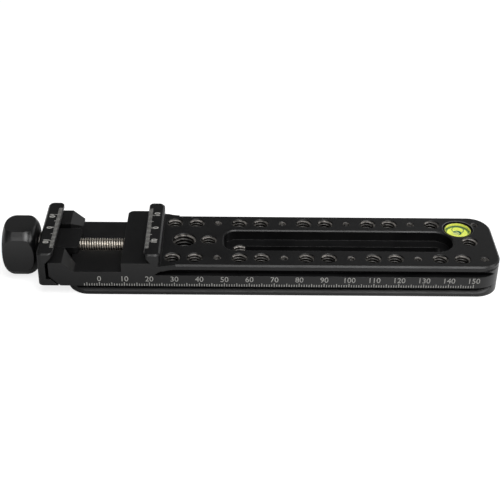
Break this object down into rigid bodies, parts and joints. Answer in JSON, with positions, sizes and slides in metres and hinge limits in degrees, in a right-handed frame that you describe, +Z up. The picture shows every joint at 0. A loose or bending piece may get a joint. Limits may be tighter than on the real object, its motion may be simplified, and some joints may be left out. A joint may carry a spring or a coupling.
{
  "type": "nodal slide rail",
  "caption": "Nodal slide rail with a screw clamp across one end, dovetails above and below, tapped holes, a centre slot and a bubble level.",
  "frame": {"origin": "centre of the whole object's box in plan, on the plane that the rail stands on", "axes": "+X along the rail from the clamp knob to the plain end, +Y across it to the level's side, +Z up"},
  "size_m": [0.2028, 0.0408, 0.022],
  "materials": {
    "anodised": "black anodised, fine satin",
    "steel": "bright stainless steel",
    "nylon": "matt black nylon",
    "vial": "glossy yellow-green acrylic",
    "liquid": "clear yellow-green liquid",
    "bubble": "clear bubble",
    "target": "dark teal ring printed on the lens",
    "lens": "clear polished lens"
  },
  "bodies": {
    "rail": {"rail_body": "anodised", "level_cup": "vial", "level_liquid": "liquid", "level_bubble": "bubble", "level_target": "target", "level_lens": "lens"},
    "jaw": {"moving_jaw": "anodised", "keeper_screw": "steel"},
    "screw": {"lead_screw": "steel", "clamp_knob": "anodised", "knob_screw": "steel", "nylon_washer": "nylon", "steel_washer": "steel"}
  },
  "joints": [
    {"name": "jaw_slide", "type": "slide", "parent": "rail", "child": "jaw", "axis": [1, 0, 0], "range_m": [-0.006, 0.0006]},
    {"name": "knob_turn", "type": "hinge", "parent": "jaw", "child": "screw", "pos_m": [-0.09325, 0, 0.0117], "axis": [1, 0, 0], "range_deg": [-2160, 216]}
  ],
  "couplings": [
    {"joint": "knob_turn", "follows": "jaw_slide", "rad_per_m": 6283.2}
  ]
}
